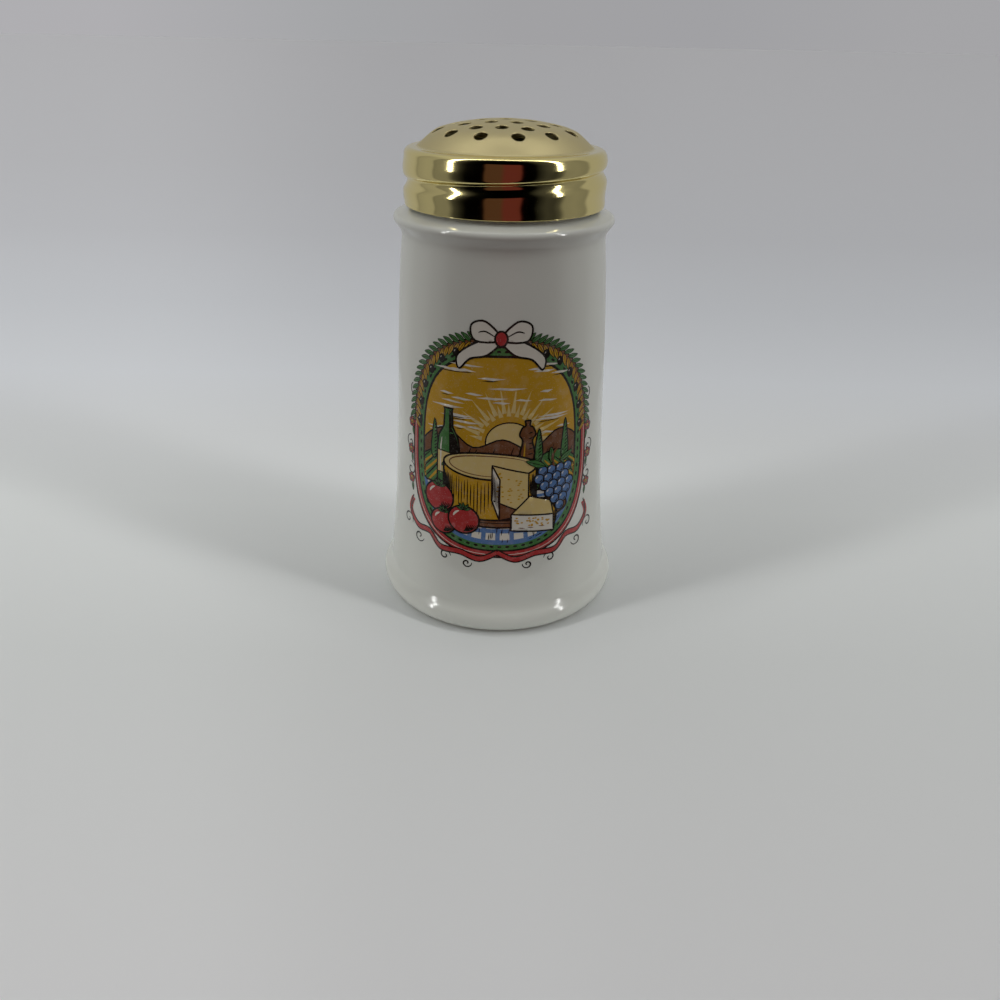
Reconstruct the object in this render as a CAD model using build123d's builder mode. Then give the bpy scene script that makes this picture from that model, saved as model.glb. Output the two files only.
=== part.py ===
"""Parmesan shaker: a glazed slip-cast ceramic jar with a neck, closed by a drawn metal
lid whose crown is punched with sprinkle holes.

Millimetres, +Z up. The origin is the centre of the foot, on the table.
"""

from build123d import *
import os
from math import cos, radians, sin, sqrt, tan

os.makedirs("parts", exist_ok=True)

# Jar: driving sizes
body_radius = 33.9
body_height = 115.0
body_wall = 4.0
floor_thickness = 6.0

# Jar: foot, a rounded roll with a fuller top, set off by a hollow from the flare of the wall
foot_spread = 6.6
foot_roll_radius = 5.4
foot_top_radius = 8.0
foot_top_angle = 37.0
foot_hollow_radius = 3.5
flare_angle = 13.0
foot_ring_width = 2.4
foot_recess_depth = 2.4
foot_recess_bevel = 1.8
foot_inner_rise = 5.4
floor_fillet = 4.5

# Jar: wall outline, as radii beyond the body radius at shares of the body's height
flare_end_spread = 1.75
flare_end_share = 0.265
belly_share = 0.515
upper_draw = 1.2
upper_share = 0.77
top_draw = 2.9
top_draw_angle = 5.0

# Jar: waist, shoulder with a rounded edge and a sloping ledge, neck and lip
waist_depth = 1.3
waist_rise = 5.6
shoulder_overhang = 1.9
shoulder_edge_radius = 1.4
shoulder_rise = 10.1
underside_angle = 50.0
ledge_angle = 18.0
neck_step = 2.5
neck_wall = 3.8
neck_root_fillet = 0.8
throat_drop = 6.6
throat_fillet = 6.0
lip_round = 0.8

# Lid: one sheet, drawn to a cup with a domed crown and a grooved skirt
sheet = 0.6
skirt_height = 15.8
crown_rise = 7.4
crown_radius = 62.0
crown_edge_share = 0.85
crease_fillet = 1.2
shoulder_fillet = 1.8
shoulder_draw = 0.3
groove_depth = 1.0
groove_width = 3.4
groove_drop = 7.9
groove_blend = 0.6
hem_round = 0.2

# Fits between lid and jar
thread_clearance = 0.7
seat_gap = 0.3
seat_overlap = 1.7
lid_gap = 1.4

# Sprinkle holes: a centre hole and four rings
hole_diameter = 3.7
inner_ring_radius = 7.1
middle_ring_radius = 12.7
spoke_ring_radius = 14.2
outer_ring_radius = 19.4
holes_per_inner_ring = 6
holes_in_outer_ring = 12
spoke_angle = -5.0
middle_angle = 25.0
outer_angle = 10.0

# Radii and heights that follow
foot_radius = body_radius + foot_spread
roll_centre_radius = foot_radius - foot_roll_radius
body_top_radius = body_radius - top_draw
waist_radius = body_top_radius - waist_depth
shoulder_radius = body_top_radius + shoulder_overhang
shoulder_centre_radius = shoulder_radius - shoulder_edge_radius
neck_radius = waist_radius - neck_step
throat_radius = neck_radius - neck_wall
shoulder_centre_height = body_height + shoulder_rise
ledge_edge_radius = shoulder_centre_radius + shoulder_edge_radius * sin(radians(ledge_angle))
ledge_edge_height = shoulder_centre_height + shoulder_edge_radius * cos(radians(ledge_angle))
ledge_slope = tan(radians(ledge_angle))
neck_root_height = ledge_edge_height + (ledge_edge_radius - neck_radius) * ledge_slope
skirt_radius = neck_radius + thread_clearance + sheet + groove_depth
hem_height = ledge_edge_height + (ledge_edge_radius - skirt_radius) * ledge_slope + lid_gap
seat_height = hem_height + skirt_height
crown_height = seat_height + crown_rise
lip_height = seat_height - sheet - seat_gap
lid_shoulder_radius = skirt_radius - shoulder_draw
haunch_foot_radius = neck_radius - seat_overlap
crown_edge_radius = haunch_foot_radius * crown_edge_share
crown_edge_height = crown_height - crown_radius + sqrt(crown_radius**2 - crown_edge_radius**2)
groove_height = seat_height - groove_drop
hole_cut_depth = crown_rise + skirt_height
floor_height = foot_recess_depth + floor_thickness

# The jar: outline up the outside from the foot to the lip, then down the inside
foot_ring_inner = roll_centre_radius - foot_ring_width
foot_top_centre = (foot_radius - foot_top_radius, foot_roll_radius)
foot_hollow_centre = (
    foot_top_centre[0] + (foot_top_radius + foot_hollow_radius) * cos(radians(foot_top_angle)),
    foot_top_centre[1] + (foot_top_radius + foot_hollow_radius) * sin(radians(foot_top_angle)),
)
flare_start = (
    foot_hollow_centre[0] - foot_hollow_radius * cos(radians(flare_angle)),
    foot_hollow_centre[1] - foot_hollow_radius * sin(radians(flare_angle)),
)
flare_end = (body_radius + flare_end_spread, body_height * flare_end_share)
belly = (body_radius, body_height * belly_share)
upper_wall = (body_radius - upper_draw, body_height * upper_share)
body_top = (body_top_radius, body_height)
waist = (waist_radius, body_height + waist_rise)
shoulder_low = (
    shoulder_centre_radius + shoulder_edge_radius * cos(radians(underside_angle)),
    shoulder_centre_height - shoulder_edge_radius * sin(radians(underside_angle)),
)
flare_direction = (-sin(radians(flare_angle)), cos(radians(flare_angle)))
top_direction = (-sin(radians(top_draw_angle)), cos(radians(top_draw_angle)))
underside_direction = (sin(radians(underside_angle)), cos(radians(underside_angle)))
throat_end = (throat_radius, neck_root_height - throat_drop)
inner_top = (body_top_radius - body_wall, body_height - waist_rise)
inner_upper = (upper_wall[0] - body_wall, upper_wall[1])
inner_belly = (belly[0] - body_wall, belly[1])
inner_flare = (flare_end[0] - body_wall, flare_end[1])
inner_foot = (flare_start[0] - body_wall, floor_height + foot_inner_rise)
jar_rounds = (
    ((neck_radius, lip_height), lip_round),
    ((throat_radius, lip_height), lip_round),
    ((neck_radius, neck_root_height), neck_root_fillet),
    (throat_end, throat_fillet),
    (inner_top, throat_fillet),
    ((inner_foot[0], floor_height), floor_fillet),
)

with BuildPart() as jar:
    with BuildSketch(Plane.XZ) as jar_section:
        with BuildLine() as jar_outline:
            Polyline(
                (0, foot_recess_depth),
                (foot_ring_inner - foot_recess_bevel, foot_recess_depth),
                (foot_ring_inner, 0),
                (roll_centre_radius, 0),
            )
            CenterArc((roll_centre_radius, foot_roll_radius), foot_roll_radius, -90, 90)
            CenterArc(foot_top_centre, foot_top_radius, 0, foot_top_angle)
            CenterArc(
                foot_hollow_centre,
                foot_hollow_radius,
                180 + foot_top_angle,
                flare_angle - foot_top_angle,
            )
            Spline(
                flare_start, flare_end, belly, upper_wall, body_top,
                tangents=(flare_direction, top_direction),
            )
            Spline(
                body_top, waist, shoulder_low,
                tangents=(top_direction, underside_direction),
            )
            CenterArc(
                (shoulder_centre_radius, shoulder_centre_height),
                shoulder_edge_radius,
                -underside_angle,
                underside_angle + 90 - ledge_angle,
            )
            Polyline(
                (ledge_edge_radius, ledge_edge_height),
                (neck_radius, neck_root_height),
                (neck_radius, lip_height),
                (throat_radius, lip_height),
                throat_end,
                inner_top,
            )
            Spline(inner_top, inner_upper, inner_belly, inner_flare, inner_foot)
            Polyline(
                inner_foot,
                (inner_foot[0], floor_height),
                (0, floor_height),
                (0, foot_recess_depth),
            )
        make_face()
        for corner, radius in jar_rounds:
            fillet(jar_section.vertices().sort_by_distance(corner)[0], radius)
    revolve(axis=Axis.Z)
jar.part.label = "jar"
export_step(jar.part, "parts/jar.step")

# The lid: the outer line of the sheet, thickened inwards by the sheet
groove_top = groove_height + groove_width / 2
groove_bottom = groove_height - groove_width / 2
lid_bends = (
    ((haunch_foot_radius, seat_height), crease_fillet),
    ((lid_shoulder_radius, seat_height), shoulder_fillet),
    ((skirt_radius, groove_top), groove_blend),
    ((skirt_radius, groove_bottom), groove_blend),
)

with BuildPart() as lid:
    with BuildSketch(Plane.XZ) as lid_section:
        with BuildLine() as lid_outline:
            crown = RadiusArc(
                (0, crown_height), (crown_edge_radius, crown_edge_height), crown_radius
            )
            TangentArc(
                (crown_edge_radius, crown_edge_height),
                (haunch_foot_radius, seat_height),
                tangent=crown % 1,
            )
            Polyline(
                (haunch_foot_radius, seat_height),
                (lid_shoulder_radius, seat_height),
                (skirt_radius, groove_top),
            )
            ThreePointArc(
                (skirt_radius, groove_top),
                (skirt_radius - groove_depth, groove_height),
                (skirt_radius, groove_bottom),
            )
            Line((skirt_radius, groove_bottom), (skirt_radius, hem_height))
            for bend, radius in lid_bends:
                fillet(lid_outline.vertices().sort_by_distance(bend)[0], radius)
            offset(amount=sheet, side=Side.RIGHT)
        make_face()
        hem_corners = lid_section.vertices().filter_by_position(Axis.Y, hem_height, hem_height)
        fillet(hem_corners, hem_round)
    revolve(axis=Axis.Z)
    with BuildSketch(Plane.XY.offset(crown_height)):
        Circle(hole_diameter / 2)
        with PolarLocations(inner_ring_radius, holes_per_inner_ring, spoke_angle):
            Circle(hole_diameter / 2)
        with PolarLocations(middle_ring_radius, holes_per_inner_ring, middle_angle):
            Circle(hole_diameter / 2)
        with PolarLocations(spoke_ring_radius, holes_per_inner_ring, spoke_angle):
            Circle(hole_diameter / 2)
        with PolarLocations(outer_ring_radius, holes_in_outer_ring, outer_angle):
            Circle(hole_diameter / 2)
    extrude(amount=-hole_cut_depth, mode=Mode.SUBTRACT)
lid.part.label = "lid"
export_step(lid.part, "parts/lid.step")
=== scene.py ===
from bisect import bisect
from math import atan2, ceil, cos, degrees, exp, log, pi, radians, sin, sqrt
from random import Random

import bpy
from mathutils import Matrix, Vector, geometry


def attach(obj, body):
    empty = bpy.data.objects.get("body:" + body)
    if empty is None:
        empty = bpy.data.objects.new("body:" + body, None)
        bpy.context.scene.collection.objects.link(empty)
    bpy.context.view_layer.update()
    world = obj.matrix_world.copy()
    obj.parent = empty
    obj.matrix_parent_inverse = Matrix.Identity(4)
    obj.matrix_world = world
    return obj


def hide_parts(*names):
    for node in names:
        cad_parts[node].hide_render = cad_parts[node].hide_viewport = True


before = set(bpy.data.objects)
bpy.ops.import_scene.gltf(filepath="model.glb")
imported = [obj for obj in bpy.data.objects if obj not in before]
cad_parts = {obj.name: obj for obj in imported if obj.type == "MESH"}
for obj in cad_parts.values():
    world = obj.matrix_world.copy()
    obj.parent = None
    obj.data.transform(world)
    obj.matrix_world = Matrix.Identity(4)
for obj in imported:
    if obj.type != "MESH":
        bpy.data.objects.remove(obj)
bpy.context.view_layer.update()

# The jar: white earthenware slip-cast in one piece, with a rolled foot, a waist, a rounded
# shoulder and a neck. Its clear glossy glaze lies in very shallow waves, carries a few iron
# specks, and is wiped off under the foot ring, on which it is fired.


def put(tree, kind, ins=None, **settings):
    """Adds a shader node; ins gives its inputs as numbers, colours or other nodes' outputs."""
    made = tree.nodes.new("ShaderNode" + kind)
    for name, value in settings.items():
        setattr(made, name, value)
    for name, value in (ins or {}).items():
        if isinstance(value, bpy.types.NodeSocket):
            tree.links.new(value, made.inputs[name])
        else:
            made.inputs[name].default_value = value
    return made


def sums(tree, operation, *values):
    """A maths node on these numbers or outputs; returns its result."""
    return put(tree, "Math", dict(enumerate(values)), operation=operation).outputs[0]


def ramp(tree, value, *stops, interpolation="LINEAR"):
    """A colour ramp over value; each stop is a place and a colour, or a place and a grey."""
    made = put(tree, "ValToRGB", {"Fac": value})
    made.color_ramp.interpolation = interpolation
    points = made.color_ramp.elements
    while len(points) < len(stops):
        points.new(1.0)
    for point, (place, colour) in zip(points, stops):
        point.position = place
        point.color = (*colour, 1) if isinstance(colour, tuple) else (colour,) * 3 + (1,)
    return made.outputs["Color"]


def between(tree, value, low, high, start=0.0, end=1.0):
    """Goes smoothly from start to end as value goes from low to high."""
    ins = {"Value": value, 1: low, 2: high, 3: start, 4: end}
    return put(tree, "MapRange", ins, interpolation_type="SMOOTHSTEP").outputs[0]


def mixed(tree, factor, first, second, blend="MIX"):
    """Two colours mixed by factor; each is a colour or another node's output."""
    made = put(tree, "Mix", data_type="RGBA", blend_type=blend)
    for place, value in ((0, factor), (6, first), (7, second)):
        if isinstance(value, bpy.types.NodeSocket):
            tree.links.new(value, made.inputs[place])
        else:
            made.inputs[place].default_value = (*value, 1) if isinstance(value, tuple) else value
    return made.outputs[2]


def group(name, numbers, gives):
    """A node group with these number inputs and number outputs; returns it and its two ends."""
    tree = bpy.data.node_groups.new(name, "ShaderNodeTree")
    for title, value in numbers.items():
        socket = tree.interface.new_socket(title, in_out="INPUT", socket_type="NodeSocketFloat")
        socket.default_value = value
    for title in gives:
        tree.interface.new_socket(title, in_out="OUTPUT", socket_type="NodeSocketFloat")
    start = tree.nodes.new("NodeGroupInput")
    end = tree.nodes.new("NodeGroupOutput")
    return tree, start.outputs, end.inputs


def place_group(tree, shared, **numbers):
    """Places a shared group in a tree with its own numbers, underscores standing for spaces."""
    made = tree.nodes.new("ShaderNodeGroup")
    made.node_tree = shared
    for name, value in numbers.items():
        made.inputs[name.replace("_", " ")].default_value = value
    return made.outputs


def material(name, **values):
    """A material with its tree and shader; values are fixed on the shader's sockets."""
    made = bpy.data.materials.new(name)
    made.use_nodes = True
    shader = made.node_tree.nodes["Principled BSDF"]
    for socket, value in values.items():
        shader.inputs[socket.replace("_", " ")].default_value = value
    return made, made.node_tree, shader.inputs


def bumped(tree, height, normal):
    """Feeds a height in metres to a shader's normal."""
    tree.links.new(put(tree, "Bump", {"Height": height, "Distance": 1.0}).outputs[0], normal)


def fired_gloss():
    """The skin of fired glaze: its slow waves and fine pits as a height, and its iron specks."""
    tree, ins, outs = group(
        "fired_gloss", {"Wave mm": 0.03, "Pits mm": 0.001, "Specks": 1.0}, ("Height", "Speck")
    )
    spot = put(tree, "TexCoord").outputs["Object"]
    height = 0.0
    for name, scale, detail in (("Wave mm", 42.0, 0.0), ("Pits mm", 1400.0, 1.0)):
        noise = put(tree, "TexNoise", {"Vector": spot, "Scale": scale, "Detail": detail})
        metres = sums(tree, "MULTIPLY", ins[name], 0.001)
        layer = sums(tree, "MULTIPLY", noise.outputs["Fac"], metres)
        height = sums(tree, "ADD", layer, height)
    tree.links.new(height, outs["Height"])
    cells = put(tree, "TexVoronoi", {"Vector": spot, "Scale": 95.0, "Randomness": 1.0})
    chosen = put(tree, "SeparateColor", {"Color": cells.outputs["Color"]}).outputs
    size = sums(tree, "MULTIPLY", chosen["Green"], 0.035)
    inside = sums(tree, "LESS_THAN", cells.outputs["Distance"], size)
    rare = sums(tree, "GREATER_THAN", chosen["Red"], 0.93)
    speck = sums(tree, "MULTIPLY", sums(tree, "MULTIPLY", inside, rare), ins["Specks"])
    tree.links.new(speck, outs["Speck"])
    return tree


glaze_skin = fired_gloss()
white_glaze, tree, shader = material("white_glaze", Roughness=0.09, IOR=1.52)
skin = place_group(tree, glaze_skin, Wave_mm=0.03, Pits_mm=0.0012)
spot = put(tree, "TexCoord").outputs["Object"]
cloud = put(tree, "TexNoise", {"Vector": spot, "Scale": 30.0, "Detail": 2.0}).outputs["Fac"]
milk = ramp(tree, cloud, (0.3, (0.705, 0.72, 0.665)), (0.7, (0.73, 0.745, 0.69)))
specked = mixed(tree, skin["Speck"], milk, (0.16, 0.12, 0.09))
height = put(tree, "SeparateXYZ", {"Vector": spot}).outputs["Z"]
glazed = between(tree, height, 0.0004, 0.0008)
tree.links.new(mixed(tree, glazed, (0.62, 0.55, 0.46), specked), shader["Base Color"])
tree.links.new(sums(tree, "MULTIPLY_ADD", glazed, -0.71, 0.8), shader["Roughness"])
bumped(tree, skin["Height"], shader["Normal"])


def smooth(value, low, high):
    """0 at low, 1 at high, and smooth between them."""
    share = min(1.0, max(0.0, (value - low) / (high - low)))
    return share * share * (3 - 2 * share)


def keep_mesh(name, points, faces, paint, body, slot):
    """A smooth-shaded piece from points in millimetres; it rides on the body."""
    mesh = bpy.data.meshes.new(name)
    mesh.from_pydata([Vector(point) * 0.001 for point in points], [], faces)
    mesh.materials.append(paint)
    mesh.shade_smooth()
    piece = bpy.data.objects.new(name, mesh)
    bpy.context.scene.collection.objects.link(piece)
    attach(piece, body)
    return piece


def arc(centre, radius, first, last, step=3.0):
    """Points round an arc from one angle to another, in degrees up from the outward way."""
    count = max(2, ceil(abs(last - first) / step))
    angles = [radians(first + (last - first) * k / count) for k in range(count + 1)]
    return [Vector(centre) + Vector((cos(angle), sin(angle))) * radius for angle in angles]


def drawn_out(start, lean, end, end_lean, pull, end_pull, count=12):
    """A smooth line up a wall that leans in by these degrees at its start and its end."""
    start, end = Vector(start), Vector(end)
    first = start + Vector((-sin(radians(lean)), cos(radians(lean)))) * pull
    second = end - Vector((-sin(radians(end_lean)), cos(radians(end_lean)))) * end_pull
    return list(geometry.interpolate_bezier(start, first, second, end, count))


def rounded(corners, most=7.0):
    """A line through corners, each (radius, height, rounding), as points with true arcs."""
    line = [Vector(corners[0][:2])]
    for before, (radius, height, rounding), after in zip(corners, corners[1:], corners[2:]):
        corner = Vector((radius, height))
        back = (Vector(before[:2]) - corner).normalized()
        on = (Vector(after[:2]) - corner).normalized()
        if rounding == 0:
            line.append(corner)
            continue
        half = back.angle(on) / 2
        centre = corner + (back + on).normalized() * rounding / sin(half)
        first = corner + back * rounding / sin(half) * cos(half) - centre
        turn = pi - 2 * half
        turn *= 1 if back.cross(on) < 0 else -1
        steps = max(2, ceil(abs(turn) / radians(most)))
        for step in range(steps + 1):
            angle = turn * step / steps
            line.append(centre + Matrix.Rotation(angle, 2) @ first)
    line.append(Vector(corners[-1][:2]))
    return line


foot_radius = 40.5
foot_recess = 2.4
recess_radius = 30.9
ring_radius = 32.7
roll_height = 5.0
roll_top = 3.47
roll_angle = 48.2
hollow_radius = 5.26
wall_lean = 4.2
# Marks up the wall: height, radius, how far it leans in, in degrees, and how firmly it runs on
wall_marks = (
    (30.48, 35.65, 4.6, 6.0),
    (59.2, 33.9, 2.8, 9.0),
    (88.55, 32.7, 2.7, 9.0),
    (109.0, 31.55, 3.8, 6.5),
    (117.6, 30.78, 6.3, 2.8),
    (120.5, 30.62, -4.0, 1.0),
)
shoulder_centre = (31.5, 125.1)
shoulder_round = 1.4
underside = 36.0
ledge_start = 72
neck_radius = 27.2
neck_root = 127.97
lip_height = 143.52
lip_round = 0.8
throat_radius = 23.4
inner_floor = 8.4
inner_foot = 34.27

top_centre = Vector((foot_radius - roll_top, roll_height))
roll_end = Vector((cos(radians(roll_angle)), sin(radians(roll_angle))))
hollow_centre = top_centre + roll_end * (roll_top + hollow_radius)
outside = arc((foot_radius - roll_height, roll_height), roll_height, -90, 0)
outside += arc(top_centre, roll_top, 0, roll_angle)[1:]
outside += arc(hollow_centre, hollow_radius, 180 + roll_angle, 180 + wall_lean)[1:]
last_lean = wall_lean
for height, radius, lean, pull in wall_marks:
    outside += drawn_out(outside[-1], last_lean, (radius, height), lean, pull, pull)[1:]
    last_lean = lean
edge = arc(shoulder_centre, shoulder_round, -underside, ledge_start)
outside += drawn_out(outside[-1], last_lean, edge[0], -underside, 1.4, 1.2)[1:]
outside += edge[1:]
neck_and_inside = rounded(
    [
        (*edge[-1], 0),
        (neck_radius, neck_root, 0.8),
        (neck_radius, lip_height, lip_round),
        (throat_radius, lip_height, lip_round),
        (throat_radius, 121.4, 6.0),
        (27.0, 109.4, 6.0),
        (28.7, 88.55, 200),
        (29.9, 59.2, 200),
        (31.65, 30.5, 60),
        (inner_foot, 13.8, 8.0),
        (inner_foot, inner_floor, 4.5),
        (0.0, inner_floor, 0),
    ]
)
recess = [Vector((0, foot_recess)), Vector((recess_radius, foot_recess)), Vector((ring_radius, 0))]


def thrown(line, sides=224):
    """A line turned round the upright axis, as points and faces; its ends lie on the axis."""
    points, faces, before = [], [], None
    for radius, height in line:
        count = sides if radius > 1e-6 else 1
        ring = [len(points) + k % count for k in range(sides + 1)]
        for k in range(count):
            angle = 2 * pi * k / sides
            points.append((radius * cos(angle), radius * sin(angle), height))
        if before:
            for k in range(sides):
                face = (before[k], before[k + 1], ring[k + 1], ring[k])
                faces.append(tuple(dict.fromkeys(face)))
        before = ring
    return points, faces


whole_line = recess + outside + neck_and_inside[1:]
jar = keep_mesh("glazed_jar", *thrown(whole_line), white_glaze, "jar", "glazed_jar")
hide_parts("jar")

# The neck's thread: a rounded ridge of clay, a little over one turn, cast with the neck and
# glazed with it. Both its ends run out into the neck. The groove rolled in the lid rides under it.
thread_pitch = 7.0
ridge_middle = 135.0
ridge_from, ridge_to = -165, 300
run_out = 40
ridge_root = neck_radius - 0.3
ridge_section = (
    (-1.7, 0.0), (-1.35, 0.45), (-0.9, 1.1), (-0.45, 1.45),
    (0.45, 1.45), (0.9, 1.1), (1.35, 0.45), (1.7, 0.0),
)


def neck_ridge():
    """The ridge as a closed tube, its inner side sunk in the wall of the neck."""
    points = []
    count = len(ridge_section)
    turns = range(ridge_from, ridge_to + 1, 3)
    for angle in turns:
        full = smooth(angle, ridge_from, ridge_from + run_out)
        full *= smooth(angle, ridge_to, ridge_to - run_out)
        for along, out in ridge_section:
            radius = ridge_root + out * full
            height = ridge_middle + thread_pitch * angle / 360 + along * (0.4 + 0.6 * full)
            points.append((radius * cos(radians(angle)), radius * sin(radians(angle)), height))
    faces = [tuple(range(count)), tuple(range(len(points) - 1, len(points) - 1 - count, -1))]
    for ring in range(len(turns) - 1):
        for k in range(count):
            a, b = ring * count + k, ring * count + (k + 1) % count
            faces.append((b, a, a + count, b + count))
    return points, faces


keep_mesh("neck_thread", *neck_ridge(), white_glaze, "jar", "glazed_jar")

# The transfer: a picture printed in eight inks, slid wet on to the front of the glaze and fired
# again, so it bends with the wall and shines with it. It shows cheese, fruit and a bottle before
# hills and a low sun, in a ringed frame with a garland above and a ribbon below.
print_radius = 34.0
print_width = 72
print_low, print_height = 20, 86
print_lift = 0.02
level_lift = 0.012
inks = {
    "ochre": (0.55, 0.31, 0.022),
    "cream": (0.68, 0.53, 0.22),
    "white": (0.73, 0.70, 0.62),
    "red": (0.42, 0.04, 0.04),
    "green": (0.065, 0.19, 0.055),
    "blue": (0.10, 0.20, 0.42),
    "brown": (0.17, 0.07, 0.03),
    "black": (0.014, 0.010, 0.007),
}
printed = {ink: ([], []) for ink in inks}
wall = sorted((point.y, point.x) for point in outside if 12 < point.y < 118)


def on_wall(point, level):
    """A point of the drawing (across, up) laid on the jar's wall."""
    across, up = point
    place = bisect(wall, (up, 0.0))
    (low, near), (high, far) = wall[place - 1], wall[place]
    radius = near + (far - near) * (up - low) / max(high - low, 1e-6)
    radius += print_lift + level_lift * level
    angle = across / print_radius
    return radius * sin(angle), -radius * cos(angle), up


def closer(line, step=0.9):
    """The same line with points no farther apart than the step."""
    made = [Vector(line[0])]
    for point in line[1:]:
        gap = Vector(point) - made[-1]
        parts = max(1, ceil(gap.length / step))
        last = made[-1]
        made += [last + gap * part / parts for part in range(1, parts + 1)]
    return made


def flowing(points, ring=False, parts=5):
    """A smooth line through the points, closed where it is a ring."""
    points = [Vector(point) for point in points]
    ends = [points[-1]] + points + points[:2] if ring else [points[0]] + points + [points[-1]]
    made = []
    for a, b, c, d in zip(ends, ends[1:], ends[2:], ends[3:]):
        for part in range(parts):
            t = part / parts
            made.append(
                (b * 2 + (c - a) * t + (a * 2 - b * 5 + c * 4 - d) * t * t
                 + (b * 3 - a - c * 3 + d) * t * t * t) / 2
            )
    return made + [made[0] if ring else points[-1]]


def oval(across, up, width, height, start=0, turn=360, steps=0):
    """Points round an oval with these half sizes; the angles are in degrees from the right."""
    steps = steps or max(10, ceil(abs(turn) / 360 * (width + height) * 3.2))
    return [
        Vector(
            (
                across + width * cos(radians(start + turn * step / steps)),
                up + height * sin(radians(start + turn * step / steps)),
            )
        )
        for step in range(steps + 1)
    ]


def holds(outline, point):
    """Whether a closed outline holds a point."""
    held = False
    for a, b in zip(outline, outline[1:] + outline[:1]):
        if (a.y > point.y) != (b.y > point.y):
            if point.x < a.x + (b.x - a.x) * (point.y - a.y) / (b.y - a.y):
                held = not held
    return held


def fill(ink, outline, level):
    """Ink inside a closed outline, as triangles small enough to bend with the wall."""
    edge = closer(outline)[:-1]
    count = len(edge)
    left, right = min(p.x for p in edge), max(p.x for p in edge)
    low, high = min(p.y for p in edge), max(p.y for p in edge)
    inner = [
        Vector((left + 1.0 * column + 0.5, low + 2.0 * row + 1.0))
        for column in range(int(right - left))
        for row in range(int((high - low) / 2))
    ]
    inner = [point for point in inner if holds(edge, point)]
    links = [(k, (k + 1) % count) for k in range(count)]
    found = geometry.delaunay_2d_cdt(edge + inner, links, [], 1, 1e-5, False)
    points, faces = printed[ink]
    start = len(points)
    points += [on_wall(point, level) for point in found[0]]
    for face in found[2]:
        if holds(edge, sum((found[0][k] for k in face), Vector((0, 0))) / len(face)):
            faces.append([start + k for k in face])


def stroke(ink, line, width, level, tip=1.0):
    """A line of ink of this width; tip is the share of the width left at its two ends."""
    line = closer(line)
    parts = max(1, ceil(width / 1.1))
    points, faces = printed[ink]
    start = len(points)
    closed = (line[0] - line[-1]).length < 1e-4
    for place, point in enumerate(line):
        before = line[place - 1] if place else (line[-2] if closed else point)
        after = line[place + 1] if place + 1 < len(line) else (line[1] if closed else point)
        way = (after - before).normalized()
        side = Vector((-way.y, way.x)) * width / 2
        share = max(0.0, sin(pi * place / (len(line) - 1))) ** 0.6
        side *= tip + (1 - tip) * share
        points += [on_wall(point + side * (2 * k / parts - 1), level) for k in range(parts + 1)]
    for place in range(len(line) - 1):
        for k in range(parts):
            a = start + place * (parts + 1) + k
            faces.append((a + 1, a, a + parts + 1, a + parts + 2))


def shape(ink, outline, level, line=0.3):
    """A filled outline with a black line round it."""
    fill(ink, outline, level)
    stroke("black", outline, line, level + 0.5)


def turned(points, across, up, angle=0.0, size=1.0):
    """Points turned by an angle in degrees, scaled, and moved to their place."""
    turn = Matrix.Rotation(radians(angle), 2)
    return [turn @ (Vector(point) * size) + Vector((across, up)) for point in points]


def leaf(across, up, angle, length, level, ink="green"):
    """A pointed leaf with its middle rib."""
    outline = [(0, 0), (0.3, 0.15), (0.62, 0.13), (1, 0), (0.6, -0.17), (0.28, -0.14)]
    shape(ink, turned(flowing(outline, True, 3), across, up, angle, length), level, 0.2)
    stroke("black", turned([(0, 0), (0.85, 0)], across, up, angle, length), 0.16, level + 0.6)


def curl(across, up, angle, size, side=1, ink="black", width=0.32):
    """A scroll that winds in on itself."""
    line = []
    for k in range(24):
        wound = Vector((cos(k * 0.33) - 1, side * sin(k * 0.33)))
        line.append(wound * (1 - k / 26) + Vector((-k / 26, 0)))
    stroke(ink, turned(line, across, up, angle, size), width, 2, tip=0.4)


middle = 62.4
half_width, half_height = 30.8, 35.0
squareness = 2.7


def within(line, less=5.3):
    """The line with every point that leaves the picture's field pulled back to its edge."""
    made = []
    for point in closer(line):
        off = (abs(point.x) / (half_width - less)) ** squareness
        off += (abs(point.y - middle) / (half_height - less)) ** squareness
        pull = max(1.0, off ** (1 / squareness))
        made.append(Vector((point.x / pull, middle + (point.y - middle) / pull)))
    return made


def ring(less, start=0, turn=360, steps=150):
    """The frame's rounded outline, or a part of it, drawn in by this much."""
    made = []
    for step in range(steps + 1):
        angle = radians(start + turn * step / steps)
        across, up = cos(angle), sin(angle)
        far = (abs(across) ** squareness + abs(up) ** squareness) ** (-1 / squareness)
        made.append(
            Vector((across * far * (half_width - less), middle + up * far * (half_height - less)))
        )
    return made


# The frame: a red band and a green one, dashed, round the field of the sky
stroke("red", ring(1.2), 2.2, 0)
stroke("green", ring(3.7), 2.4, 0)
fill("ochre", ring(4.8), 0)
for less, width in ((0.1, 0.6), (2.35, 0.6), (5.1, 0.75)):
    stroke("black", ring(less), width, 1)
stroke("white", ring(0.95), 0.2, 1)
for angle in range(0, 360, 5):
    stroke("black", ring(3.7, angle, 2.6, 4), 0.75, 1, tip=0.3)

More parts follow.
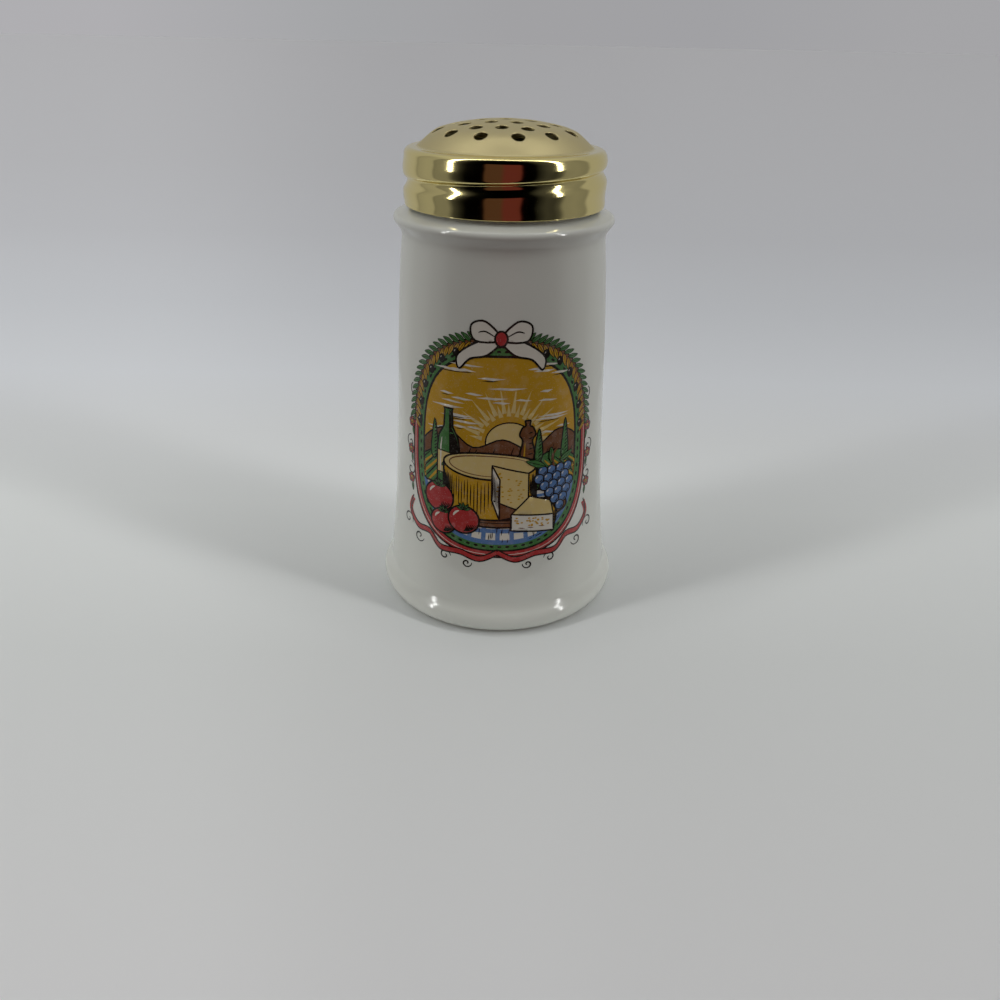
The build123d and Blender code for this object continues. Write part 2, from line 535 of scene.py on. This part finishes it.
# The sun with its rays, and streaks of cloud
drawn = Random(11)
sun = Vector((3.0, 66.0))
fill("cream", oval(*sun, 7.2, 6.4), 0.6)
stroke("black", oval(*sun, 7.2, 6.4), 0.4, 1.6)
for angle in range(4, 180, 8):
    way = Vector((cos(radians(angle)), sin(radians(angle))))
    side = Vector((-way.y, way.x)) * 0.7
    start = sun + way * (9.4 if angle % 16 == 4 else 8.4)
    end = sun + way * (17.5 if angle % 16 == 4 else 12.5)
    fill("cream", [start - side, end, start + side, start - side], 0.6)
for _ in range(60):
    x, z = drawn.uniform(-23, 23), drawn.uniform(62, 90)
    long = drawn.uniform(2.0, 6.5)
    rise = drawn.uniform(-0.3, 0.3)
    if (Vector((x, z)) - sun).length > 8 + long and abs(x) + long < 25 - max(0, z - 84) * 0.7:
        streak = [(-long, 0), (-long / 3, 0.42), (long, rise), (long / 4, -0.4), (-long, 0)]
        fill("white", turned(streak, x, z), 1.2)
        if drawn.random() < 0.5:
            under = [(x - long * 0.7, z - 0.7), (x + long * 0.5, z - 0.6)]
            stroke("black", under, 0.28, 1.4, tip=0.2)

# Brown hills, then green ones with rows of vines and four cypresses
back_hill = [(-30, 50), (-26, 63), (-17, 69), (-8, 64), (1, 67), (10, 63.5), (19, 69)]
back_hill += [(27, 64), (30, 50)]
shape("brown", within(flowing(back_hill, True)), 2, 0.5)
for k in range(26):
    x = -23 + 1.85 * k
    stroke("black", within([(x, 60.0), (x + 1.5, 63.0 + 1.6 * sin(k * 1.9))]), 0.35, 2.8, tip=0.2)
front_hill = [(-30, 46), (-27, 57), (-16, 62.5), (-4, 58.5), (8, 59), (18, 62.5), (27, 57)]
front_hill += [(30, 46)]
shape("green", within(flowing(front_hill, True)), 3, 0.5)
for k in range(-8, 9):
    row = [(k * 4.4, 49), (k * 3.5 - 0.5, 54.5), (k * 2.7 - 1.0, 60)]
    stroke("black", within(flowing(row)), 0.5, 3.7, tip=0.3)
    row = [(k * 4.4 + 2.1, 49), (k * 3.5 + 1.4, 54.5), (k * 2.7 + 0.6, 59.5)]
    stroke("ochre", within(flowing(row)), 0.8, 3.7, tip=0.2)
for x, z, tall in ((-21.2, 58, 13), (12.2, 59, 11), (21.4, 58, 14), (9.0, 59, 8.5)):
    flame = [(0, 0), (1.3, 0.18 * tall), (1.1, 0.55 * tall), (0, tall)]
    flame += [(-1.1, 0.5 * tall), (-1.3, 0.15 * tall)]
    shape("green", turned(flowing(flame, True, 4), x, z), 4, 0.45)
    for k in range(int(tall / 1.3)):
        stroke("black", turned([(-0.1, 0), (0.95, 0.9)], x, z + 0.8 + 1.1 * k), 0.42, 4.8, tip=0.3)

# A checked cloth
cloth_top = 50.0
fill("white", within([(-28, 24), (28, 24), (28, cloth_top), (-28, cloth_top), (-28, 24)]), 5)
for k in range(-7, 8):
    stroke("blue", within([(k * 4.6, 26), (k * 3.7, cloth_top - 0.3)]), 1.35, 5.4)
for k, z in enumerate((48.0, 44.6, 40.8, 36.6, 32.4)):
    stroke("blue", within([(-24.8, z), (24.8, z)]), 1.0 + 0.14 * k, 5.7)
for k in range(34):
    x, z = drawn.uniform(-24, 24), drawn.uniform(29.5, 36)
    stroke("black", within([(x, z), (x + 0.3, z + 2.6)]), 0.3, 6, tip=0.1)
stroke("black", within([(-25.2, cloth_top), (25.2, cloth_top)]), 0.6, 6)

# A bottle with a plain label, and a pepper mill
bottle_spot = (-16.2, 51)
bottle = [(-3.7, 0), (-3.8, 12), (-3.3, 15.2), (-1.5, 18.6), (-1.25, 23.6), (-1.6, 24.2)]
bottle += [(-x, z) for x, z in reversed(bottle)]
shape("green", turned(bottle + bottle[:1], *bottle_spot), 6.4, 0.6)
dark_side = [(0.6, 0.6), (3.4, 0.6), (3.5, 12), (2.9, 15), (1.2, 18), (0.9, 23.6), (0.2, 23.6)]
fill("black", turned(dark_side + dark_side[:1], *bottle_spot), 6.9)
glint = [(-2.5, 2.5), (-2.6, 11.5), (-2.2, 14.6)]
stroke("white", turned(glint, *bottle_spot), 0.55, 7.2, tip=0.2)
label = [(-3.7, 3.2), (2.4, 2.6), (2.5, 9.8), (-3.75, 10.4), (-3.7, 3.2)]
shape("cream", turned(label, *bottle_spot), 7.4, 0.35)
leaf(-18.4, 56.3, 38, 5.4, 8.0)
mill_spot = (8.6, 54)
mill = [(2.7, 0), (2.7, 2.2), (1.7, 4.6), (2.3, 8.4), (1.5, 12.4), (2.5, 14.4), (1.7, 16.6)]
mill = flowing(mill + [(0.7, 17.3), (0.9, 18.9)])
mill += [Vector((-point.x, point.y)) for point in reversed(mill)]
shape("brown", turned(mill + mill[:1], *mill_spot), 6.4, 0.55)
for k in range(9):
    groove = [(0.2, 1.2 + 1.7 * k), (1.7, 1.5 + 1.7 * k)]
    stroke("black", turned(groove, *mill_spot), 0.5, 7.1, tip=0.2)
stroke("ochre", turned([(-1.2, 2), (-0.8, 12)], *mill_spot), 0.5, 7.1, tip=0.2)

# The board, and on it a wheel of cheese with a piece cut out
board = [(-21, 41.6), (-22.2, 44.4), (-19, 46.6), (0, 47.2), (19, 46.6), (22.2, 44.4)]
board += [(21, 41.6), (11, 38.6), (0, 37.8), (-11, 38.6)]
shape("brown", flowing(board, True), 7, 0.65)
for k in range(9):
    z = 39.2 + 0.8 * k
    stroke("black", [(-16 + 2 * (k % 3), z), (15 - 3 * (k % 2), z + 0.3)], 0.32, 7.7, tip=0.2)
wheel_across = -3.0
wheel_top, wheel_low = 58.2, 44.6
wheel_width, wheel_dip = 14.6, 4.3
side_wall = oval(wheel_across, wheel_low, wheel_width, wheel_dip, 180, 180)
side_wall += oval(wheel_across, wheel_top, wheel_width, wheel_dip, 0, -180)
shape("ochre", side_wall + side_wall[:1], 8.4, 0.65)
for k in range(41):
    angle = radians(180 + 180 * (k + 0.5) / 41)
    x, dip = wheel_across + wheel_width * cos(angle), wheel_dip * sin(angle)
    high, low = wheel_top + dip - 0.5, wheel_low + dip + 0.5
    shade = 0.55 if k < 9 or k > 33 else 0.34
    mark = [(x, low + drawn.uniform(0, 5.5)), (x, high - drawn.uniform(0, 2.0))]
    stroke("black", mark, shade, 9.0, tip=0.2)
shape("cream", oval(wheel_across, wheel_top, wheel_width, wheel_dip), 9.6, 0.65)
stroke("brown", oval(wheel_across, wheel_top + 0.1, 12.6, 3.3, 20, 270), 0.4, 10.2, tip=0.2)
cut = Vector((wheel_across + 1.0, wheel_top + 0.5))
near = Vector((wheel_across + 3.4, wheel_top - 4.18))
far = Vector((wheel_across + 12.2, wheel_top - 2.36))
drop = Vector((0, wheel_low - wheel_top))
shape("brown", [cut, near, near + drop, far + drop, far, cut], 10.6, 0.5)
shape("cream", [cut, far, far + drop, cut + drop * 0.84, cut], 11, 0.5)
shape("white", [cut, near, near + drop, cut + drop * 0.84, cut], 11.6, 0.5)
for _ in range(30):
    share = drawn.uniform(0.14, 0.9)
    spot = cut + (far - cut) * share + drop * drawn.uniform(0.1, 0.8)
    fill("ochre", oval(spot.x, spot.y, 0.42, 0.26, steps=8), 11.5)
for k in range(5):
    start = cut + (near - cut) * (k + 1) / 6
    stroke("black", [start + drop * 0.15, start + drop * 0.8], 0.3, 12.2, tip=0.2)

# The wedge in front of it, three tomatoes and a bunch of grapes
wedge = [Vector(point) for point in ((4.0, 42.4), (17.6, 40.8), (16.6, 45.8), (9.6, 48.2))]
wedge_low = Vector((0, -5.6))
shape("cream", wedge + wedge[:1], 12.8, 0.5)
face = [wedge[0], wedge[0] + wedge_low, wedge[1] + wedge_low, wedge[1], wedge[0]]
shape("white", face, 13.4, 0.55)
rind = [wedge[1], wedge[1] + wedge_low, Vector((18.9, 41.2)), wedge[2], wedge[1]]
shape("ochre", rind, 14.0, 0.5)
for k in range(6):
    stroke("black", [(17.9, 36.6 + 0.9 * k), (18.5, 38.8 + 0.9 * k)], 0.35, 14.8, tip=0.3)
for _ in range(30):
    x = drawn.uniform(5.0, 16.6)
    z = drawn.uniform(38.6, 41.2) - (x - 5) * 0.11
    fill("ochre", oval(x, z, 0.42, 0.26, steps=8), 14.2)
for x in (6.2, 9.0, 12.6):
    stroke("brown", [(x, 37.6), (x + 2.0, 37.3)], 0.35, 14.2, tip=0.2)

tomatoes = ((-19.2, 45.6, 4.9), (-17.4, 37.6, 4.2), (-10.6, 39.6, 4.7))
for item, (x, z, size) in enumerate(tomatoes):
    level = 13 + 1.2 * item
    shape("red", oval(x, z, size * 1.06, size), level, 0.6)
    stroke("white", oval(x, z, size * 0.72, size * 0.66, 115, 50), 0.7, level + 0.7, tip=0.3)
    for k in range(6):
        shade = oval(x, z, size * (0.95 - 0.13 * k), size * 0.84, 275, 65)
        stroke("black", shade, 0.36, level + 0.7, tip=0.2)
    for k in range(5):
        leaf(x, z + size * 0.7, 20 + 35 * k + (k == 2) * 4, size * 0.56, level + 0.8)
for row, count in enumerate((4, 5, 4, 3, 2, 1)):
    for k in range(count):
        x = 18.2 + (k - (count - 1) / 2) * 3.0 + 0.3 * row
        z = 56.0 - 2.5 * row
        if x < 24:
            shape("blue", oval(x, z, 1.6, 1.6, steps=20), 15 + row, 0.42)
            stroke("white", oval(x, z, 0.95, 0.95, 110, 60, 4), 0.4, 15.7 + row, tip=0.3)
            stroke("black", oval(x, z, 1.0, 1.0, 270, 80, 5), 0.4, 15.7 + row, tip=0.3)
for x, z, angle, size in ((14.4, 57.6, 160, 6.6), (19.5, 58.4, 28, 5.6), (16.8, 58.2, 96, 5.4)):
    leaf(x, z, angle, size, 22)
stroke("brown", flowing([(17.6, 57.0), (16.8, 60.4), (18.8, 63.2)]), 0.9, 22, tip=0.5)

# Both sides of the frame: the garland with its olives, the bow, the ribbon, curls and flowers
curls = (
    (32.2, 71.0, 80, 2.4, 1), (32.6, 62.0, 95, 2.4, -1), (32.4, 53.0, 85, 2.4, 1),
    (30.4, 31.8, 200, 2.6, -1), (24.6, 28.4, 190, 2.2, 1), (14.4, 25.9, 175, 2.0, -1),
    (31.6, 79.4, 70, 2.2, -1), (7.6, 24.9, 170, 1.6, 1),
)
for side in (-1, 1):
    stem = [Vector((side * point.x, point.y)) for point in ring(0.6, 85, -76, 44)]
    stroke("brown", stem, 0.9, 2, tip=0.5)
    for k in range(3, len(stem) - 1, 2):
        ahead = stem[min(k + 1, len(stem) - 1)] - stem[k - 1]
        lean = degrees(atan2(ahead.y, ahead.x))
        for turn in (-44, 44):
            ink = "green" if turn * side > 0 else "ochre"
            leaf(*stem[k], lean + turn, 4.0, 2.4 + 0.8 * (k % 4 == 1), ink)
        if k % 6 == 1:
            olive = stem[k] + Vector((ahead.y, -ahead.x)).normalized() * side * 2.4
            shape("black", oval(olive.x, olive.y, 1.0, 1.3, steps=18), 4.6, 0.25)
            stroke("white", oval(olive.x, olive.y, 0.5, 0.7, 110, 60, 4), 0.25, 5.2, tip=0.3)
    loop = [(0, 97.2), (4.8, 102.2), (9.2, 101.0), (7.8, 96.6)]
    shape("white", flowing([(side * x, z) for x, z in loop], True), 7, 0.6)
    fold = [(1.6, 97.8), (4.8, 99.4), (7.0, 99.0)]
    stroke("black", flowing([(side * x, z) for x, z in fold]), 0.45, 7.8, tip=0.2)
    tail = [(0.2, 96.4), (4.2, 92.6), (9.4, 91.2), (12.8, 88.0), (13.6, 91.6), (9.2, 95.2)]
    tail += [(2.4, 98.0)]
    shape("white", flowing([(side * x, z) for x, z in tail], True), 6, 0.6)
    ribbon = [(30.4, 41.0), (31.6, 36.6), (27.6, 32.4), (22.4, 32.2), (18.2, 28.2), (11.6, 28.2)]
    ribbon += [(5.4, 26.6), (0, 29.2)]
    ribbon = flowing([(side * x, z) for x, z in ribbon])
    stroke("red", ribbon, 1.9, 3)
    for off in (-0.95, 0.95):
        stroke("black", [point + Vector((0, off)) for point in ribbon], 0.45, 3.6)
    for x, z, angle, size, hand in curls:
        curl(side * x, z, angle if side > 0 else 180 - angle, size, side * hand, width=0.5)
    for x, z in ((32.0, 66.6), (32.4, 57.4), (31.8, 47.6)):
        for k in range(5):
            petal = radians(72 * k + 18)
            heart = Vector((side * x, z)) + Vector((cos(petal), sin(petal))) * 0.9
            shape("red", oval(*heart, 0.8, 0.8, steps=12), 4 + 0.1 * k, 0.32)
        fill("ochre", oval(side * x, z, 0.6, 0.6, steps=10), 5)
        leaf(side * (x - 0.6), z - 1.2, 262 if side > 0 else 278, 3.0, 3.4)
shape("red", oval(0, 97.4, 1.9, 2.2), 8, 0.6)


def fired_ink():
    """The skin of a fired print: how far its colour has burnt thin, and its own slight height."""
    tree, ins, outs = group("fired_ink", {"Thin": 1.0, "Height mm": 0.004}, ("Height", "Burnt"))
    spot = put(tree, "TexCoord").outputs["Object"]
    cloud = put(tree, "TexNoise", {"Vector": spot, "Scale": 420.0, "Detail": 3.0}).outputs["Fac"]
    grain = put(tree, "TexNoise", {"Vector": spot, "Scale": 2600.0, "Detail": 1.0}).outputs["Fac"]
    patchy = sums(tree, "MULTIPLY", between(tree, cloud, 0.45, 0.75), 0.22)
    pin = sums(tree, "MULTIPLY", between(tree, grain, 0.66, 0.72), 0.5)
    burnt = sums(tree, "MULTIPLY", sums(tree, "ADD", patchy, pin), ins["Thin"])
    tree.links.new(burnt, outs["Burnt"])
    metres = sums(tree, "MULTIPLY", ins["Height mm"], 0.001)
    tree.links.new(sums(tree, "MULTIPLY", cloud, metres), outs["Height"])
    return tree


ink_skin = fired_ink()
for ink, colour in inks.items():
    dye, tree, shader = material("ink_" + ink, Roughness=0.12, IOR=1.5)
    skin = place_group(tree, ink_skin, Thin=0.4 if ink == "black" else 1.0)
    pale = tuple(0.6 * own + 0.4 * under for own, under in zip(colour, (0.73, 0.73, 0.70)))
    tree.links.new(mixed(tree, skin["Burnt"], colour, pale), shader["Base Color"])
    bumped(tree, skin["Height"], shader["Normal"])
    layer = keep_mesh("transfer_" + ink, *printed[ink], dye, "jar", "glazed_jar")
    flat = layer.data.uv_layers.new(name="OFBake")
    for corner in layer.data.loops:
        spot = layer.data.vertices[corner.vertex_index].co * 1000
        across = atan2(spot.x, -spot.y) * print_radius
        place = (0.5 + across / print_width, (spot.z - print_low) / print_height)
        flat.uv[corner.index].vector = place

# The lid: one sheet of aluminium, spun with a domed crown, anodised gold, satin above the rounded
# shoulder and bright below it. Its skirt holds a rolled thread, and its crown 31 punched holes.

crown_top = 151.82
crown_radius = 72.0
rim_start, rim_bend, rim_slope = 20.5, 0.9, 0.576
crease = (25.5, 144.42)
crease_reach = 1.0
crease_round = 2.6
lid_shoulder = (29.2, 144.42)
lid_shoulder_round = 1.9
skirt_radius = 29.5
skirt_top = 138.6
hem = 128.62
hem_round = 0.35
hem_turn = 0.8
sheet = 0.6
plate_edge = 22.6
plate_step = 1.1
row_share = 0.866
skirt_step = 0.42
sides = 240
hole_radius = 1.85
hole_steps = 32
# Lines round each hole: how far out from its edge, and how far the punch has drawn the sheet down
punch_lines = ((0.0, 0.24), (0.07, 0.11), (0.2, 0.035), (0.5, 0.0))
# Circles of holes: radius, how many, and the angle of the first, in degrees
hole_circles = ((7.1, 6, -5), (12.7, 6, 25), (14.2, 6, -5), (19.4, 12, 10))
holes = [(0.0, 0.0)]
for out, count, first in hole_circles:
    for place in range(count):
        angle = radians(first + 360 / count * place)
        holes.append((out * cos(angle), out * sin(angle)))


def crown_height(radius):
    """The height of the crown's outside at this radius: a shallow dome, then a steeper rim."""
    past = rim_bend * log(1 + exp((radius - rim_start) / rim_bend))
    return crown_top - radius**2 / (2 * crown_radius) - rim_slope * past


thread_middle = ridge_middle + thread_pitch / 2 + 0.4
groove_depth = 1.0
groove_above, groove_below = 1.8, 2.8
groove_fades = ((185, 130), (-360, -262))
swell = 0.28
swell_fades = ((hem, hem + 1.8), (143.6, 141.2))


def skirt_line(radius, height, angle):
    """The skirt's radius where its rolled thread passes; the angle is in degrees from +X."""
    turns = (height - thread_middle) / thread_pitch - angle / 360
    nearest = round(turns)
    way = angle + 360 * nearest
    strength = smooth(way, *groove_fades[0]) * smooth(way, *groove_fades[1])
    off = abs(turns - nearest) * thread_pitch
    off /= groove_below if turns < nearest else groove_above
    groove = cos(pi / 2 * min(1.0, off)) ** 2 * groove_depth * strength
    band = smooth(height, *swell_fades[0]) * smooth(height, *swell_fades[1])
    return radius - groove + swell * band * sin(pi * turns) ** 2


def crown_plate():
    """The crown as a plate of triangles with its holes left open; its first points are its rim."""
    spots = [
        (plate_edge * cos(2 * pi * k / sides), plate_edge * sin(2 * pi * k / sides))
        for k in range(sides)
    ]
    points = [(x, y, crown_height(plate_edge)) for x, y in spots]
    edges = [(k, (k + 1) % sides) for k in range(sides)]
    for x, y in holes:
        for out, drop in punch_lines:
            start = len(points)
            for k in range(hole_steps):
                angle = 2 * pi * k / hole_steps
                px = x + (hole_radius + out) * cos(angle)
                py = y + (hole_radius + out) * sin(angle)
                points.append((px, py, crown_height(sqrt(px * px + py * py)) - drop))
            edges += [(start + k, start + (k + 1) % hole_steps) for k in range(hole_steps)]
    rows = int(plate_edge / plate_step / row_share)
    columns = rows - 1
    for row in range(-rows, rows + 1):
        for column in range(-columns, columns + 1):
            x = (column + row % 2 / 2) * plate_step
            y = row * plate_step * row_share
            away = min(sqrt((x - hx) ** 2 + (y - hy) ** 2) for hx, hy in holes)
            if x * x + y * y < (plate_edge - 0.7) ** 2 and away > hole_radius + 0.95:
                points.append((x, y, crown_height(sqrt(x * x + y * y))))
    flat = [Vector(point[:2]) for point in points]
    found = geometry.delaunay_2d_cdt(flat, edges, [], 0, 1e-6, True)
    source = [names[0] for names in found[3]]
    faces = []
    for face in found[2]:
        middle = sum((found[0][k] for k in face), Vector((0, 0))) / 3
        if min((middle - Vector(hole)).length for hole in holes) > hole_radius:
            faces.append([source[k] for k in face])
    return points, faces


def skirt_outline(steps=8):
    """The sheet's outside below the plate: the rim, the crease, the shoulder and the skirt."""
    line = []
    for step in range(1, steps + 1):
        radius = plate_edge + (crease[0] - crease_reach - plate_edge) * step / steps
        line.append(Vector((radius, crown_height(radius))))
    bends = rounded(
        [
            (*line[-1], 0),
            (*crease, crease_round),
            (*lid_shoulder, lid_shoulder_round),
            (skirt_radius, skirt_top, 0),
            (skirt_radius, hem, hem_round),
            (skirt_radius - hem_turn, hem + 0.12, 0),
        ]
    )
    return line[:-1] + closer([line[-1]] + bends[1:], skirt_step)


def lid_shell():
    """The outside of the sheet: the crown's plate, then rings from its rim to the hem."""
    points, faces = crown_plate()
    last = list(range(sides))
    for radius, height in skirt_outline():
        start = len(points)
        for k in range(sides):
            angle = 360 / sides * k
            angle = angle if angle <= 180 else angle - 360
            out = skirt_line(radius, height, angle) if radius > crease[0] + 2.7 else radius
            points.append((out * cos(radians(angle)), out * sin(radians(angle)), height))
        lap = list(range(start, start + sides))
        for k in range(sides):
            beside = (k + 1) % sides
            faces.append((last[k], lap[k], lap[beside], last[beside]))
        last = lap
    return points, faces


gold, tree, shader = material("anodised_gold", Metallic=1.0)
spot = put(tree, "TexCoord").outputs["Object"]
height = put(tree, "SeparateXYZ", {"Vector": spot}).outputs["Z"]
ledge = crease[1] * 0.001
satin = between(tree, height, ledge + 0.00003, ledge + 0.00043)
grain = put(tree, "TexNoise", {"Vector": spot, "Scale": 2600.0, "Detail": 1.0}).outputs["Fac"]
smear = put(tree, "TexNoise", {"Vector": spot, "Scale": 140.0, "Detail": 3.0}).outputs["Fac"]
tint = mixed(tree, satin, (0.86, 0.74, 0.34), (0.62, 0.535, 0.29))
tree.links.new(tint, shader["Base Color"])
dull = sums(tree, "MULTIPLY_ADD", smear, 0.07, 0.06)
frosted = sums(tree, "MULTIPLY_ADD", grain, 0.06, 0.46)
rough = put(tree, "Mix", {0: satin, 2: dull, 3: frosted}).outputs[0]
tree.links.new(rough, shader["Roughness"])
grit = sums(tree, "MULTIPLY", sums(tree, "MULTIPLY", grain, satin), 0.000004)
bumped(tree, grit, shader["Normal"])

lid = keep_mesh("sprinkle_lid", *lid_shell(), gold, "lid", "gold_lid")
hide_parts("lid")
thickness = lid.modifiers.new("sheet", "SOLIDIFY")
thickness.thickness = sheet * 0.001
thickness.offset = -1
thickness.use_even_offset = True

# The floor and the light: a light tent with a pale lining, an arch of lamps round its open front,
# and the dark room in front of it. The lining's colour holds painted light: painted falloff that
# darkens it towards the back, a little painted shade just in front of the jar, a lighter band just
# behind the jar that lifts its cast shadows, and painted brighter light towards the left and back.
# Only its part near the jar gives light back to it.
floor_half = 30
near_centre = (0.0, 0.09, 0.0)
near_radius = 0.172
floor_mesh = bpy.data.meshes.new("floor")
corners = [(floor_half * x, floor_half * y, 0) for x, y in ((-1, -1), (1, -1), (1, 1), (-1, 1))]
floor_mesh.from_pydata(corners, [], [(0, 1, 2, 3)])
floor = bpy.data.objects.new("floor", floor_mesh)
bpy.context.scene.collection.objects.link(floor)
lining = bpy.data.materials.new("lining")
lining.use_nodes = True
tree = lining.node_tree
tree.nodes.clear()
spot = put(tree, "NewGeometry").outputs["Position"]
place = put(tree, "SeparateXYZ", {"Vector": spot}).outputs
from_front = sums(tree, "ADD", place["Y"], 0.3)
depth = sums(tree, "DIVIDE", from_front, sums(tree, "ADD", from_front, 0.5))
# Painted light: a little darker just in front of the jar as painted shade, lighter in a band just
# behind it as a painted lift of its cast shadows, and darker towards the back as painted falloff
# of the light.
painted_light_tone = ramp(
    tree,
    depth,
    (0.219, (0.778, 0.78, 0.788)),
    (0.333, (0.765, 0.785, 0.78)),
    (0.41, (0.84, 0.865, 0.86)),
    (0.457, (0.80, 0.82, 0.83)),
    (0.5, (0.78, 0.805, 0.84)),
    (0.565, (0.69, 0.71, 0.745)),
    (0.643, (0.625, 0.635, 0.665)),
    (0.737, (0.60, 0.605, 0.63)),
    (0.97, (0.583, 0.583, 0.605)),
)
# Painted light: brighter towards the left, more so further back; on the right, a little painted
# shade near the jar and a little painted light far back.
sideways = sums(tree, "DIVIDE", place["X"], sums(tree, "ADD", place["Y"], 0.32))
left = between(tree, sideways, -0.42, -0.08, 0.17, 0.0)
left = sums(tree, "MULTIPLY_ADD", between(tree, place["Y"], -0.1, 0.5, 0.4, 1.0), left, 1.0)
right = between(tree, place["Y"], 0.1, 1.2, -0.025, 0.025)
right = sums(tree, "MULTIPLY", between(tree, sideways, 0.02, 0.25), right)
painted_side_light = sums(tree, "ADD", left, right)
painted_side_light = put(tree, "CombineXYZ", {"X": painted_side_light, "Y": painted_side_light, "Z": painted_side_light}).outputs[0]
painted_light_tone = mixed(tree, 1.0, painted_light_tone, painted_side_light, blend="MULTIPLY")
cloth = put(tree, "BsdfDiffuse", {"Color": painted_light_tone})
clear = put(tree, "BsdfTransparent")
seen = put(tree, "LightPath").outputs["Is Camera Ray"]
away = put(tree, "VectorMath", {0: spot, 1: near_centre}, operation="DISTANCE")
close_by = sums(tree, "LESS_THAN", away.outputs["Value"], near_radius)
shown = sums(tree, "MAXIMUM", seen, close_by)
pick = put(tree, "MixShader", {0: shown, 1: clear.outputs[0], 2: cloth.outputs[0]})
tree.links.new(pick.outputs[0], put(tree, "OutputMaterial").inputs["Surface"])
floor_mesh.materials.append(lining)

world = bpy.data.worlds.new("light_box")
bpy.context.scene.world = world
world.use_nodes = True
tree = world.node_tree
tree.nodes.clear()
way = put(tree, "SeparateXYZ", {"Vector": put(tree, "TexCoord").outputs["Generated"]}).outputs
side = sums(tree, "ARCTAN2", way["X"], sums(tree, "MULTIPLY", way["Y"], -1.0))
round_share = sums(tree, "MULTIPLY_ADD", side, 1 / (2 * pi), 0.5)
rise = sums(tree, "DEGREES", sums(tree, "ARCSINE", way["Z"]))


def share(angle):
    """Where an azimuth, in degrees from the front, lies on a ramp."""
    return angle / 360 + 0.5


walls = ramp(
    tree,
    round_share,
    *(
        (share(angle), grey)
        for angle, grey in (
            (-180, 0.37), (-143, 0.39), (-121, 0.39), (-114.5, 0.32), (-113, 0.19), (-111.5, 0.28),
            (-97, 0.32), (-87, 0.32), (-84.6, 0.15), (-82, 0.2), (-76, 0.2), (-66, 0.2),
            (-59, 0.05), (-50, 0.012), (-44, 0.0), (34, 0.0), (41, 0.02), (48, 0.04), (58, 0.035),
            (65, 0.07), (71, 0.21), (86, 0.23), (103, 0.2), (109, 0.38), (124, 0.37), (180, 0.37),
        )
    ),
)
warm_patch = ramp(
    tree,
    round_share,
    (share(-24), 0.0),
    (share(-21), (0.073, 0.035, 0.026)),
    (share(-4), (0.073, 0.035, 0.026)),
    (share(0), (0.108, 0.024, 0.026)),
    (share(17), (0.108, 0.024, 0.026)),
    (share(20), 0.0),
)
low_down = between(tree, rise, 26.0, 31.0, 1.0, 0.0)
front = mixed(tree, low_down, walls, warm_patch, blend="ADD")
back = mixed(tree, between(tree, rise, 35.0, 58.0), walls, (0.48, 0.48, 0.47))
arch = ramp(
    tree,
    way["Z"],
    *(
        (height, 0.5 + depth / 2)
        for height, depth in (
            (0.0, -0.48), (0.36, -0.41), (0.58, -0.3), (0.73, -0.21), (0.83, -0.12), (0.93, 0.03),
            (1.0, 0.18),
        )
    ),
)
past_arch = sums(tree, "SUBTRACT", sums(tree, "MULTIPLY_ADD", way["Y"], 0.5, 0.5), arch)
unlit = mixed(tree, between(tree, past_arch, -0.012, 0.012), front, back)
below = sums(tree, "LESS_THAN", way["Z"], 0.0)
unlit = mixed(tree, below, unlit, front)
off_arch = sums(tree, "ABSOLUTE", past_arch)
lamps = between(tree, off_arch, 0.0105, 0.0155, 1.0, 0.0)
panel = between(tree, off_arch, 0.022, 0.032, 1.0, 0.0)
power = ramp(tree, way["Z"], (0.04, 0.0), (0.1, 1.0), (0.72, 1.0), (0.86, 0.5), (1.0, 0.45))
glow = mixed(tree, sums(tree, "MULTIPLY", panel, power), unlit, (2.2, 2.2, 2.2))
shining = mixed(tree, sums(tree, "MULTIPLY", lamps, power), glow, (15.0, 15.0, 14.8))
seen = put(tree, "LightPath").outputs["Is Camera Ray"]
far_wall = ramp(
    tree,
    sums(tree, "MULTIPLY_ADD", way["X"], 0.5, 0.5),
    (0.31, (0.43, 0.425, 0.443)),
    (0.42, (0.372, 0.376, 0.388)),
    (0.5, (0.358, 0.356, 0.368)),
    (0.6, (0.356, 0.355, 0.37)),
    (0.69, (0.375, 0.373, 0.385)),
)
colour = mixed(tree, seen, shining, far_wall)
shine = put(tree, "Background", {"Color": colour, "Strength": 1.0})
tree.links.new(shine.outputs[0], put(tree, "OutputWorld").inputs["Surface"])

camera = bpy.data.cameras.new("camera")
camera.lens = 30.96
camera.sensor_width = 36.0
viewer = bpy.data.objects.new("camera", camera)
bpy.context.scene.collection.objects.link(viewer)
bpy.context.scene.camera = viewer
look = Matrix.Rotation(radians(61.736), 4, "X") @ Matrix.Rotation(radians(1.216), 4, "Z")
viewer.matrix_world = Matrix.Translation((0.00055, -0.26653, 0.17203)) @ look
bpy.context.scene.view_settings.view_transform = "Standard"
